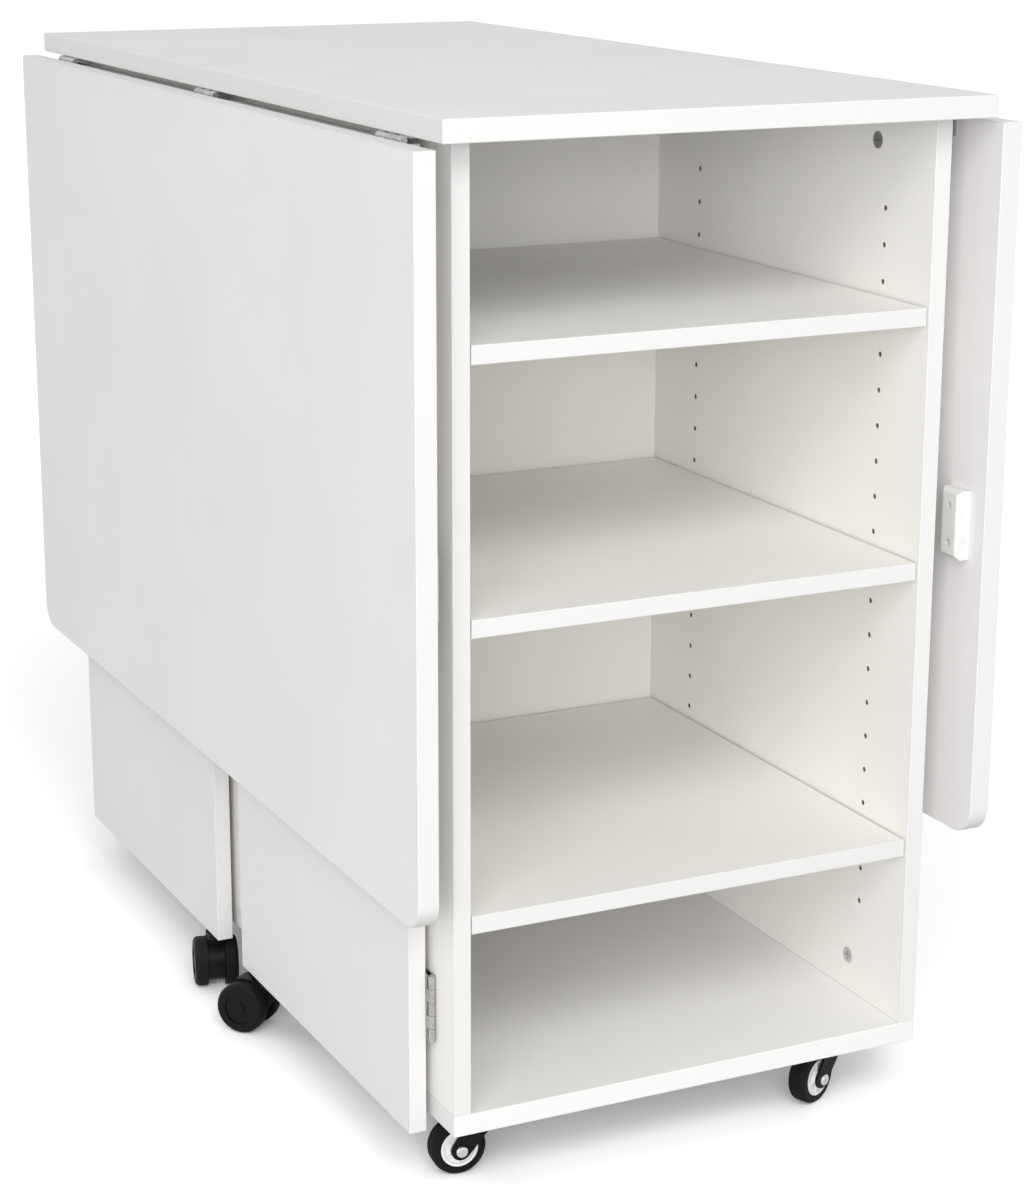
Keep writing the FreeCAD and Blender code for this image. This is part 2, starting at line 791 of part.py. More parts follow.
def export_hinges():
    """The hinge plates on the cabinet, every hinge pin and the cabinet's screws."""
    leaf, gate = leaf_hinges(), gate_hinges()
    plates = halves([h.fixed_plate for h in leaf]) + quarters([h.fixed_plate for h in gate])
    save("cabinet_hinge_plates", plates)
    save("hinge_pins", halves([h.pin for h in leaf]) + quarters([h.pin for h in gate]))
    leaf_screw_list = [s for h in leaf for s in h.fixed_screws]
    gate_screw_list = [s for h in gate for s in h.fixed_screws]
    save("cabinet_screws", halves(leaf_screw_list) + quarters(gate_screw_list + caster_screws()))


def export_leaves():
    """Both drop leaves with the hinge plates, stops and screws that move with them."""
    panel, screws = leaf_panel(), leaf_screws()
    plates = [h.moving_plate for h in leaf_hinges()]
    stop = gate_stop()
    for name, way in SIDES.items():
        save(name + "_leaf_panel", [mirrored(panel, way, 1)])
        save(name + "_leaf_hinge_plates", [mirrored(p, way, 1) for p in plates + screws])
        save(name + "_gate_stops", [mirrored(stop, way, end) for end in ENDS.values()])


def export_gates():
    """The four gates, each with its hinge plates and screws, and its twin-wheel caster."""
    panel, hinges = gate_panel(), gate_hinges()
    plates = [h.moving_plate for h in hinges] + [s for h in hinges for s in h.moving_screws]
    body, wheel = [twin_hood(), twin_axle(), twin_stem()], twin_wheel()
    wheels = {"_caster_wheel_1": wheel, "_caster_wheel_2": wheel.mirror(ORIGIN, Y_AXIS)}
    for (end, side), heading in gate_caster_headings.items():
        name = end + "_" + side + "_gate"
        way = (SIDES[side], ENDS[end])
        save(name + "_panel", [mirrored(panel, *way)])
        save(name + "_hinge_plates", [mirrored(p, *way) for p in plates])
        stem = twin_stem_place()
        place = point(way[0] * stem.x, way[1] * stem.y, 0)
        save(name + "_caster_hood", [turned(s, heading, place) for s in body])
        for ending, one in wheels.items():
            save(name + ending, [turned(one, heading, place)])


def export_base_casters():
    """The four fork casters."""
    pieces = {"fork": caster_fork(), "axle": caster_axle(), "hub": caster_hub(), "tyre": caster_tyre()}
    for (end, side), heading in base_caster_headings.items():
        corner = caster_place()
        place = point(SIDES[side] * corner.x, ENDS[end] * corner.y, 0)
        for piece, shape in pieces.items():
            save(end + "_" + side + "_caster_" + piece, [turned(shape, heading, place)])


os.makedirs("parts", exist_ok=True)
export_cabinet()
export_hinges()
export_leaves()
export_gates()
export_base_casters()
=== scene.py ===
"""Dresses the folding sewing cutting table: finishes, small metalwork and a studio."""

import json
import logging
import math
from dataclasses import dataclass, field
from enum import Enum
from typing import Any, Mapping, Optional, Sequence, Union

import bpy
from mathutils import Euler, Matrix, Vector

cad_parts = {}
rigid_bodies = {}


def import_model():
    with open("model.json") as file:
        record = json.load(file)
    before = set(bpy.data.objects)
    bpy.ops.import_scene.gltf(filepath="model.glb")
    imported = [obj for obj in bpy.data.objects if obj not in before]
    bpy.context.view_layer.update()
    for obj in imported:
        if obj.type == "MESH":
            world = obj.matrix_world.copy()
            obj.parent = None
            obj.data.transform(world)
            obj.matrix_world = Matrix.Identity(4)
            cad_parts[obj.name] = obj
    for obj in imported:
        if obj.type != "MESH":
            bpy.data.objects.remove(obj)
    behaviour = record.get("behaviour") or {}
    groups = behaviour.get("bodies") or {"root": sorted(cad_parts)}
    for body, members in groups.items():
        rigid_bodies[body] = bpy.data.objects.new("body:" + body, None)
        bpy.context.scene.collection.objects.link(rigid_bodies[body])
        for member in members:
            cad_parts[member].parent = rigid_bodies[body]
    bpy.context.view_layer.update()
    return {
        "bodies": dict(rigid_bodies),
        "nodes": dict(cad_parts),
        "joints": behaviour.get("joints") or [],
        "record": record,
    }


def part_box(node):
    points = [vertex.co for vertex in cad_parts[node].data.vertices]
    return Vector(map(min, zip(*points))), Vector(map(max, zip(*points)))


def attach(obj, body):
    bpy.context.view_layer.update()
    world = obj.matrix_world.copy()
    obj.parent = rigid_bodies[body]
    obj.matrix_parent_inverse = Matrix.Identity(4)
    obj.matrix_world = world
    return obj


LOG = logging.getLogger("cutting_table")

Number = Union[int, float]
Colour = tuple[float, float, float]
Span = tuple[float, float]
Operand = Union["Wire", Number]

WHITE: Colour = (1.0, 1.0, 1.0)
SHARP_ANGLE = math.radians(35)
FACING_SHARE = 0.99
UP = Vector((0, 0, 1))
DOWN = Vector((0, 0, -1))
BOTH_WAYS = (-1, 1)


class Axis(Enum):
    """A direction of the table's frame, by its place in a vector."""

    X = 0
    Y = 1
    Z = 2


class End(Enum):
    """An end of the cabinet, with its way along Y."""

    FRONT = -1
    REAR = 1

    @property
    def word(self) -> str:
        """The end's name in node names."""
        return self.name.lower()


class Side(Enum):
    """A long side of the cabinet, with its way along X."""

    LEFT = -1
    RIGHT = 1

    @property
    def word(self) -> str:
        """The side's name in node names."""
        return self.name.lower()


class Wire:
    """A shader value: arithmetic on it adds Math nodes."""

    def __init__(self, nodes: "Nodes", socket: bpy.types.NodeSocket) -> None:
        """Hold one output socket of a tree."""
        self.nodes = nodes
        self.socket = socket

    def math(self, operation: str, *others: Operand) -> "Wire":
        """The result of a Math node with this value first and the others after it."""
        values = dict(enumerate((self, *others)))
        return self.nodes.add("ShaderNodeMath", {"operation": operation}, values)

    def __add__(self, other: Operand) -> "Wire":
        """Sum."""
        return self.math("ADD", other)

    __radd__ = __add__

    def __sub__(self, other: Operand) -> "Wire":
        """Difference."""
        return self.math("SUBTRACT", other)

    def __rsub__(self, other: Number) -> "Wire":
        """Difference from a number."""
        return self.nodes.add("ShaderNodeMath", {"operation": "SUBTRACT"}, {0: other, 1: self})

    def __mul__(self, other: Operand) -> "Wire":
        """Product."""
        return self.math("MULTIPLY", other)

    __rmul__ = __mul__

    def __gt__(self, other: Operand) -> "Wire":
        """1 where this value is the greater."""
        return self.math("GREATER_THAN", other)

    def __lt__(self, other: Operand) -> "Wire":
        """1 where this value is the smaller."""
        return self.math("LESS_THAN", other)

    def __abs__(self) -> "Wire":
        """Size without sign."""
        return self.math("ABSOLUTE")

    def least(self, other: Operand) -> "Wire":
        """The smaller of two values."""
        return self.math("MINIMUM", other)

    def most(self, other: Operand) -> "Wire":
        """The greater of two values."""
        return self.math("MAXIMUM", other)

    def root(self) -> "Wire":
        """Square root."""
        return self.math("SQRT")

    def wave(self) -> "Wire":
        """Sine of an angle in radians."""
        return self.math("SINE")

    def rise(self, low: Number, high: Number) -> "Wire":
        """A smooth step from 0 at low to 1 at high."""
        settings = {"interpolation_type": "SMOOTHSTEP"}
        return self.nodes.add("ShaderNodeMapRange", settings, {"Value": self, 1: low, 2: high})


class Nodes:
    """A node tree that is filled one node at a time."""

    def __init__(self, tree: bpy.types.NodeTree) -> None:
        """Take over a tree and empty it."""
        self.tree = tree
        self.tree.nodes.clear()

    def node(
        self, kind: str, settings: Mapping[str, Any], inputs: Mapping[Union[str, int], Any]
    ) -> bpy.types.Node:
        """Add any node.

        Args:
            kind: the node's type.
            settings: its properties, set first.
            inputs: values or links of its sockets.

        Returns:
            The node.
        """
        node = self.tree.nodes.new(kind)
        for key, value in settings.items():
            setattr(node, key, value)
        for key, value in inputs.items():
            self.feed(node.inputs[key], value)
        return node

    def add(
        self,
        kind: str,
        settings: Mapping[str, Any],
        inputs: Mapping[Union[str, int], Any],
        output: Union[str, int] = 0,
    ) -> Wire:
        """One output of a new node, as a value."""
        return Wire(self, self.node(kind, settings, inputs).outputs[output])

    def feed(self, socket: bpy.types.NodeSocket, value: Any) -> None:
        """Link a value to a socket, or set the socket to a constant.

        Args:
            socket: the input to feed.
            value: a value, a number, or a colour or vector.
        """
        if isinstance(value, Wire):
            self.tree.links.new(value.socket, socket)
        elif isinstance(value, (int, float)):
            socket.default_value = value
        elif socket.type == "RGBA":
            socket.default_value = (*value, 1.0)
        else:
            socket.default_value = tuple(value)

    def mix(self, first: Any, second: Any, factor: Any) -> Wire:
        """A colour that goes from the first to the second as the factor goes from 0 to 1."""
        settings = {"data_type": "RGBA", "clamp_factor": True}
        return self.add("ShaderNodeMix", settings, {0: factor, 6: first, 7: second}, 2)

    def rays(self) -> tuple[Wire, Wire]:
        """Tell rays apart.

        Returns:
            1 for rays from the camera, and 1 for rays that a shiny or clear piece sends on.
        """
        outputs = self.node("ShaderNodeLightPath", {}, {}).outputs
        mirrored = Wire(self, outputs["Is Glossy Ray"]).most(Wire(self, outputs["Is Transmission Ray"]))
        return Wire(self, outputs["Is Camera Ray"]), mirrored


@dataclass(frozen=True)
class WheelPlace:
    """A wheel's middle and the direction of its axle."""

    centre: Vector
    axle: Vector

    @classmethod
    def of_joint(cls, joints: Sequence[Mapping[str, Any]], name: str) -> "WheelPlace":
        """Read a wheel's place from the joint of that name."""
        found = next(joint for joint in joints if joint["name"] == name)
        return cls(Vector(found["pos_m"]), Vector(found["axis"]).normalized())


@dataclass(frozen=True)
class Pattern:
    """A random pattern: repeats to the metre, finer layers, and the span that is spread over 0 to 1."""

    scale: float
    layers: float = 2.0
    span: Optional[Span] = None


@dataclass(frozen=True)
class Relief:
    """How a bump shows: the share of it that is seen, and its height in metres."""

    strength: float
    distance: float


class Shader(Nodes):
    """A material's node tree, with its Principled shader and Object coordinates."""

    def __init__(self, name: str) -> None:
        """Start an empty material.

        Args:
            name: the material's name.
        """
        self.material = bpy.data.materials.new(name)
        self.material.use_nodes = True
        super().__init__(self.material.node_tree)
        self.surface = self.node("ShaderNodeBsdfPrincipled", {}, {})
        self.node("ShaderNodeOutputMaterial", {}, {0: Wire(self, self.surface.outputs[0])})
        self.place = self.add("ShaderNodeTexCoord", {}, {}, "Object")

    def set(self, **inputs: Any) -> None:
        """Feed the Principled shader; words are joined by underscores in place of spaces."""
        for key, value in inputs.items():
            self.feed(self.surface.inputs[key.replace("_", " ").title().replace("Ior", "IOR")], value)

    def axes(self) -> tuple[Wire, Wire, Wire]:
        """The three Object coordinates."""
        outputs = self.node("ShaderNodeSeparateXYZ", {}, {0: self.place}).outputs
        return Wire(self, outputs[0]), Wire(self, outputs[1]), Wire(self, outputs[2])

    def noise(self, pattern: Pattern, stretch: Optional[Sequence[float]] = None) -> Wire:
        """Lay a smooth random pattern.

        Args:
            pattern: the pattern.
            stretch: a scale along each axis, if it is stretched.

        Returns:
            A value about 0.5, or from 0 to 1 over the pattern's span.
        """
        place = self.place
        if stretch:
            place = self.add("ShaderNodeMapping", {}, {"Vector": place, "Scale": stretch})
        inputs = {"Vector": place, "Scale": pattern.scale, "Detail": pattern.layers}
        value = self.add("ShaderNodeTexNoise", {}, inputs)
        return value.rise(*pattern.span) if pattern.span else value

    def cells(self, scale: float) -> Wire:
        """A random grey level for each cell of a crystal pattern, with scale cells to the metre."""
        colour = self.add("ShaderNodeTexVoronoi", {}, {"Vector": self.place, "Scale": scale}, "Color")
        return self.add("ShaderNodeSeparateColor", {}, {0: colour})

    def bump(self, height: Wire, relief: Relief) -> None:
        """Tilt the surface's normals as a height from 0 to 1 would."""
        inputs = {"Height": height, "Strength": relief.strength, "Distance": relief.distance}
        self.set(normal=self.add("ShaderNodeBump", {}, inputs))

    def spin_space(self, wheel: WheelPlace) -> tuple[Wire, Wire]:
        """Measure a wheel's own space.

        Args:
            wheel: where the wheel is.

        Returns:
            The distance along the axle from the wheel's middle, and the distance from the axle.
        """
        settings = {"operation": "SUBTRACT"}
        away = self.add("ShaderNodeVectorMath", settings, {0: self.place, 1: tuple(wheel.centre)})
        dot = {"operation": "DOT_PRODUCT"}
        along = self.add("ShaderNodeVectorMath", dot, {0: away, 1: tuple(wheel.axle)}, "Value")
        square = self.add("ShaderNodeVectorMath", dot, {0: away, 1: away}, "Value")
        return along, (square - along * along).most(0.0).root()


@dataclass(frozen=True)
class Board:
    """A laminated board: its node, the way it is thin, and the radius of its lower corners."""

    node: str
    thin: Axis
    corner: float = 0.0


@dataclass(frozen=True)
class Melamine:
    """White melamine foil on chip board, with edge bands and bare chips inside bored holes."""

    tint: Colour
    # Painted shade: the edge bands are painted darker than the faces so that the front edges, which face
    # the lamps, stay below white.
    band: Colour = (0.725, 0.723, 0.718)
    seam: Colour = (0.60, 0.585, 0.565)
    chip_dark: Colour = (0.11, 0.075, 0.045)
    chip_light: Colour = (0.34, 0.25, 0.16)
    chip_scale: float = 900.0
    shade_share: float = 0.965
    seam_share: float = 0.55
    band_width: float = 0.0011
    seam_width: float = 0.00022
    face_skin: Span = (0.0001, 0.0003)
    hole_skin: float = 0.0004
    polish: float = 0.43
    gloss: float = 0.42
    mottle: Pattern = Pattern(4.0, 3.0, (0.3, 0.7))
    smudge: Pattern = Pattern(18.0, 4.0, (0.45, 0.75))
    grain: Pattern = Pattern(1400.0)
    pore: Pattern = Pattern(420.0, 3.0)
    relief: Relief = Relief(0.22, 0.00012)

    def outline(self, shader: Shader, board: Board) -> tuple[Wire, Wire]:
        """Measure a board's own space.

        Args:
            shader: the material in the making.
            board: the board.

        Returns:
            The distance outside the board's outline, and the depth under its nearer face.
        """
        low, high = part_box(board.node)
        middle, half = (low + high) / 2, (high - low) / 2
        across = [axis for axis in Axis if axis is not board.thin]
        values = shader.axes()
        first, second = (values[axis.value] - middle[axis.value] for axis in across)
        round_here = (second < 0.0) * board.corner if board.corner else 0.0
        reach_1 = abs(first) - half[across[0].value] + round_here
        reach_2 = abs(second) - half[across[1].value] + round_here
        out_1, out_2 = reach_1.most(0.0), reach_2.most(0.0)
        outside = (out_1 * out_1 + out_2 * out_2).root() + reach_1.most(reach_2).least(0.0)
        depth = half[board.thin.value] - abs(values[board.thin.value] - middle[board.thin.value])
        return outside - round_here, depth

    def material(self, board: Board) -> bpy.types.Material:
        """Make the finish of one board.

        Args:
            board: the board.

        Returns:
            Its material.
        """
        shader = Shader("melamine_" + board.node)
        outside, depth = self.outline(shader, board)
        on_face = 1.0 - depth.rise(*self.face_skin)
        band = outside.rise(-self.band_width - self.seam_width, -self.band_width)
        seam = (1.0 - abs(outside + self.band_width).rise(0.0, self.seam_width)) * on_face
        bored = (depth > self.hole_skin) * (outside < -2 * self.band_width)
        smudge, grain, pore = map(shader.noise, (self.smudge, self.grain, self.pore))
        shade = tuple(self.shade_share * value for value in self.tint)
        face = shader.mix(shade, self.tint, shader.noise(self.mottle))
        # Painted shade on the edge band, darker than the face.
        face = shader.mix(face, self.band, band)
        face = shader.mix(face, self.seam, seam * self.seam_share)
        chips = shader.mix(self.chip_dark, self.chip_light, shader.cells(self.chip_scale))
        shader.set(base_color=shader.mix(face, chips, bored))
        polish = self.polish + 0.12 * pore + 0.08 * smudge - 0.05 * band
        shader.set(roughness=polish + bored * 0.4, specular_ior_level=self.gloss)
        shader.bump(grain * 0.6 + pore * 0.4 - seam * 0.8, self.relief)
        return shader.material


@dataclass(frozen=True)
class PlatedSteel:
    """Plated sheet or wire: crystal spangle, rolling lines and a little dullness."""

    name: str
    light: Colour
    dark: Colour
    polish: float
    spangle: float
    rolled: Sequence[float] = (1.0, 1.0, 1.0)
    lines: Pattern = Pattern(900.0, 3.0)
    stain: Pattern = Pattern(60.0, 3.0, (0.4, 0.8))
    tone_span: Span = (0.15, 1.0)
    relief: Relief = Relief(0.12, 0.00005)

    def material(self) -> bpy.types.Material:
        """Make the finish.

        Returns:
            The material.
        """
        shader = Shader(self.name)
        flake = shader.cells(self.spangle)
        lines = shader.noise(self.lines, self.rolled)
        stain = shader.noise(self.stain)
        tone = (0.5 * flake + 0.35 * lines + 0.35 * stain).rise(*self.tone_span)
        shader.set(base_color=shader.mix(self.light, self.dark, tone), metallic=1.0)
        shader.set(roughness=self.polish + 0.14 * lines + 0.1 * stain)
        shader.bump(lines * 0.6 + flake * 0.4, self.relief)
        return shader.material


@dataclass(frozen=True)
class DieCast:
    """Die-cast cams with painted shade: the upper ones, under the top, are painted darker as if shaded,
    the lower ones bright.
    """

    # Painted shade: the darker tone that the upper cams are given.
    dull: Colour = (0.26, 0.255, 0.24)
    bright: Colour = (0.6, 0.6, 0.605)
    pit: Colour = (0.2, 0.2, 0.2)
    pit_share: float = 0.7
    split_height: float = 0.5
    metal: float = 0.35
    polish: float = 0.42
    pits: Pattern = Pattern(1800.0, 3.0, (0.5, 0.7))
    relief: Relief = Relief(0.25, 0.00008)

    def material(self) -> bpy.types.Material:
        """Make the finish.

        Returns:
            The material.
        """
        shader = Shader("die_cast_cams")
        # Painted shade: cams above the split height take the darker tone, as if in the top's shadow.
        upper = shader.axes()[Axis.Z.value] > self.split_height
        pits = shader.noise(self.pits)
        bare = shader.mix(self.bright, self.dull, upper)
        shader.set(base_color=shader.mix(bare, self.pit, pits * self.pit_share), metallic=self.metal)
        shader.set(roughness=self.polish + 0.2 * pits)
        shader.bump(pits, self.relief)
        return shader.material


@dataclass(frozen=True)
class PowderCoat:
    """Black powder coat on the pressed forks, with an orange-peel skin and a little dust."""

    skin: Colour = (0.005, 0.005, 0.0053)
    dusty: Colour = (0.014, 0.014, 0.0145)
    dust_share: float = 0.6
    polish: float = 0.34
    gloss: float = 0.16
    peel: Pattern = Pattern(1100.0)
    dust: Pattern = Pattern(140.0, 4.0, (0.5, 0.8))
    relief: Relief = Relief(0.3, 0.00015)

    def material(self) -> bpy.types.Material:
        """Make the finish.

        Returns:
            The material.
        """
        shader = Shader("powder_coat_forks")
        peel, dust = shader.noise(self.peel), shader.noise(self.dust)
        shader.set(base_color=shader.mix(self.skin, self.dusty, dust * self.dust_share))
        shader.set(roughness=self.polish + 0.16 * peel + 0.15 * dust, specular_ior_level=self.gloss)
        shader.bump(peel, self.relief)
        return shader.material


@dataclass(frozen=True)
class Chrome:
    """Bright plating on the axle bolts, with faint smears."""

    bright: Colour = (0.80, 0.81, 0.83)
    dim: Colour = (0.62, 0.62, 0.63)
    polish: float = 0.07
    smear: Pattern = Pattern(260.0, 4.0, (0.5, 0.75))
    haze: Pattern = Pattern(900.0)
    relief: Relief = Relief(0.04, 0.00005)

    def material(self) -> bpy.types.Material:
        """Make the finish.

        Returns:
            The material.
        """
        shader = Shader("chrome_axles")
        smear = shader.noise(self.smear)
        shader.set(base_color=shader.mix(self.bright, self.dim, smear), metallic=1.0)
        shader.set(roughness=self.polish + 0.16 * smear)
        shader.bump(shader.noise(self.haze), self.relief)
        return shader.material


@dataclass(frozen=True)
class MouldedPlastic:
    """Moulded plastic with a fine spark-eroded grain and slight flow marks."""

    name: str
    tone: Colour
    flow: Colour
    polish: float
    gloss: float = 0.45
    grain: Pattern = Pattern(1600.0)
    marks: Pattern = Pattern(70.0, 4.0, (0.35, 0.75))
    relief: Relief = Relief(0.22, 0.0001)

    def material(self) -> bpy.types.Material:
        """Make the finish.

        Returns:
            The material.
        """
        shader = Shader(self.name)
        grain, marks = shader.noise(self.grain), shader.noise(self.marks)
        shader.set(base_color=shader.mix(self.tone, self.flow, marks))
        shader.set(roughness=self.polish + 0.14 * grain + 0.06 * marks, specular_ior_level=self.gloss)
        shader.bump(grain, self.relief)
        return shader.material


@dataclass(frozen=True)
class WheelPlastic:
    """A wheel's moulding: turned rings on the disc and a duller, dustier tread."""

    name: str
    disc: Colour
    tread: Colour
    rim_radius: float
    polish: float
    ring_pitch: float = 0.0016
    gloss: float = 0.16
    rim_blend: float = 0.0015
    grain: Pattern = Pattern(1500.0)
    dust: Pattern = Pattern(160.0, 4.0, (0.4, 0.8))
    relief: Relief = Relief(0.3, 0.00015)

    def material(self, wheel: WheelPlace, label: str) -> bpy.types.Material:
        """Make the finish of one wheel.

        Args:
            wheel: where the wheel is.
            label: the wheel's name.

        Returns:
            Its material.
        """
        shader = Shader(self.name + "_" + label)
        along, radius = shader.spin_space(wheel)
        worn = radius.rise(self.rim_radius - self.rim_blend, self.rim_radius)
        grain, dust = shader.noise(self.grain), shader.noise(self.dust)
        turns = 2 * math.pi / self.ring_pitch
        rings = (radius * turns).wave() * (1.0 - worn)
        lines = (along * turns).wave() * worn
        shader.set(base_color=shader.mix(self.disc, self.tread, worn * 0.7 + dust * 0.3))
        shader.set(roughness=self.polish + 0.22 * worn + 0.12 * grain + 0.1 * dust)
        shader.set(specular_ior_level=self.gloss)
        shader.bump(grain * 0.4 + rings * 0.12 + lines * 0.15 + 0.3, self.relief)
        return shader.material


class Workshop:
    """Hand tools on meshes: every method but pick_faces leaves Blender in object mode."""

    @staticmethod
    def clear_choice() -> None:
        """Deselect everything."""
        if bpy.context.object and bpy.context.object.mode != "OBJECT":
            bpy.ops.object.mode_set(mode="OBJECT")
        bpy.ops.object.select_all(action="DESELECT")

    @classmethod
    def choose(cls, *objects: bpy.types.Object) -> None:
        """Select some objects and make the first one active.

        Args:
            objects: what to select.
        """
        cls.clear_choice()
        for each in objects:
            each.select_set(True)
        bpy.context.view_layer.objects.active = objects[0]

    @classmethod
    def block(cls, size: Sequence[float], place: Sequence[float], turn: float = 0.0) -> bpy.types.Object:
        """Make a block.

        Args:
            size: its three sizes.
            place: its middle.
            turn: its turn about Z in radians.

        Returns:
            The block.
        """
        cls.clear_choice()
        bpy.ops.mesh.primitive_cube_add(size=1.0, location=place, rotation=(0, 0, turn))
        made = bpy.context.object
        made.scale = size
        bpy.ops.object.transform_apply(location=True, rotation=True, scale=True)
        return made

    @classmethod
    def pick_faces(cls, piece: bpy.types.Object, normal: Vector) -> None:
        """Go into edit mode with the faces that look along a direction chosen.

        Args:
            piece: the mesh to edit.
            normal: the direction.
        """
        cls.choose(piece)
        bpy.ops.object.mode_set(mode="EDIT")
        bpy.ops.mesh.select_mode(type="FACE")
        bpy.ops.mesh.select_all(action="DESELECT")
        bpy.ops.object.mode_set(mode="OBJECT")
        for polygon in piece.data.polygons:
            polygon.select = polygon.normal.dot(normal) > FACING_SHARE
        bpy.ops.object.mode_set(mode="EDIT")

    @classmethod
    def ease_top(cls, piece: bpy.types.Object, width: float, steps: int) -> None:
        """Bevel the edges of a mesh's upper face.

        Args:
            piece: the mesh.
            width: the bevel's width.
            steps: how many facets it has.
        """
        cls.pick_faces(piece, UP)
        bpy.ops.mesh.bevel(offset=width, segments=steps, affect="EDGES")
        bpy.ops.object.mode_set(mode="OBJECT")

    @classmethod
    def carve(cls, piece: bpy.types.Object, cutter: bpy.types.Object) -> None:
        """Cut one mesh out of another and throw the cutter away.

        Args:
            piece: what is cut.
            cutter: what cuts it.
        """
        cls.choose(piece)
        modifier = piece.modifiers.new("carve", "BOOLEAN")
        modifier.operation = "DIFFERENCE"
        modifier.object = cutter
        modifier.solver = "EXACT"
        bpy.ops.object.modifier_apply(modifier=modifier.name)
        bpy.data.objects.remove(cutter, do_unlink=True)

    @classmethod
    def copies(cls, piece: bpy.types.Object, places: Sequence[Matrix], name: str) -> bpy.types.Object:
        """Copy a model to many places and join the copies into one piece.

        Args:
            piece: the model, made at the origin.
            places: where each copy goes.
            name: the joined piece's name.

        Returns:
            The joined piece, at the origin.
        """
        made = []
        for place in places:
            one = piece.copy()
            one.data = piece.data.copy()
            one.data.transform(place)
            bpy.context.scene.collection.objects.link(one)
            made.append(one)
        bpy.data.objects.remove(piece, do_unlink=True)
        cls.choose(*made)
        bpy.ops.object.join()
        joined = bpy.context.object
        joined.name = name
        joined.data.name = name
        cls.choose(joined)
        bpy.ops.object.mode_set(mode="EDIT")
        bpy.ops.mesh.select_all(action="SELECT")
        bpy.ops.mesh.normals_make_consistent(inside=False)
        bpy.ops.object.mode_set(mode="OBJECT")
        bpy.ops.object.shade_smooth_by_angle(angle=SHARP_ANGLE)
        return joined


def paint(piece: bpy.types.Object, material: bpy.types.Material) -> None:
    """Give a piece one material."""
    piece.data.materials.clear()
    piece.data.materials.append(material)


def aimed(place: Vector, way: Vector, nose: str = "Z") -> Matrix:
    """The matrix that puts a thing at a place, its nose axis facing a way."""
    return Matrix.Translation(place) @ way.to_track_quat(nose, "Y").to_matrix().to_4x4()


@dataclass
class Finishes:
    """The finishes that the sub-assemblies share. The boards are all one white melamine, painted lighter
    or darker by place to stand in for light and shade.
    """

    # Painted light and shade: the top and the swinging leaves and gates are painted darker where the lamps
    # fall hardest. The base and inside boards are painted lighter to lift the shade in the bays, and the
    # base's edge band is painted less dark than the others'.
    top: Melamine = Melamine((0.775, 0.775, 0.775))
    base: Melamine = Melamine((0.915, 0.906, 0.886), band=(0.8, 0.798, 0.79))
    inside: Melamine = Melamine((0.92, 0.906, 0.874))
    swung: Melamine = Melamine((0.82, 0.806, 0.806))
    zinc: bpy.types.Material = field(
        default_factory=lambda: PlatedSteel(
            "zinc_plate", light=(0.62, 0.63, 0.65), dark=(0.40, 0.41, 0.43), polish=0.30, spangle=420.0
        ).material()
    )
    nickel: bpy.types.Material = field(
        default_factory=lambda: PlatedSteel(
            "dull_nickel",
            light=(0.60, 0.595, 0.585),
            dark=(0.40, 0.394, 0.384),
            polish=0.32,
            spangle=900.0,
            rolled=(1.0, 0.08, 1.0),
        ).material()
    )
    cams: bpy.types.Material = field(default_factory=lambda: DieCast().material())
    powder: bpy.types.Material = field(default_factory=lambda: PowderCoat().material())
    chrome: bpy.types.Material = field(default_factory=lambda: Chrome().material())
    hood: bpy.types.Material = field(
        default_factory=lambda: MouldedPlastic(
            "black_hoods", tone=(0.005, 0.005, 0.0053), flow=(0.01, 0.01, 0.0103), polish=0.3, gloss=0.18
        ).material()
    )
    stop: bpy.types.Material = field(
        default_factory=lambda: MouldedPlastic(
            "white_stops", tone=(0.735, 0.735, 0.727), flow=(0.70, 0.695, 0.685), polish=0.38
        ).material()
    )


@dataclass(frozen=True)
class ScrewHead:
    """A pan head with a cross recess, fitted over a plain head."""

    radius: float
    seat: float
    crown: float
    cross_length: float
    cross_width: float
    cross_depth: float
    facets: int = 28
    crown_steps: int = 3

    def model(self) -> bpy.types.Object:
        """Model one head at the origin, its seat on the XY plane and its crown up.

        Returns:
            The head.
        """
        Workshop.clear_choice()
        height = self.seat + self.crown
        bpy.ops.mesh.primitive_cylinder_add(
            vertices=self.facets, radius=self.radius, depth=height, location=(0, 0, height / 2)
        )
        head = bpy.context.object
        bpy.ops.object.transform_apply(location=True, rotation=True, scale=True)
        Workshop.ease_top(head, self.crown, self.crown_steps)
        slot = (self.cross_length, self.cross_width, 2 * self.cross_depth)
        for turn in (0.0, math.pi / 2):
            Workshop.carve(head, Workshop.block(slot, (0, 0, height), turn))
        return head


WOOD_SCREW = ScrewHead(
    radius=0.00306,
    seat=0.0012,
    crown=0.00035,
    cross_length=0.0032,
    cross_width=0.0007,
    cross_depth=0.00028,
)
PLATE_SCREW = ScrewHead(
    radius=0.00408,
    seat=0.0016,
    crown=0.0007,
    cross_length=0.0046,
    cross_width=0.001,
    cross_depth=0.0006,
)


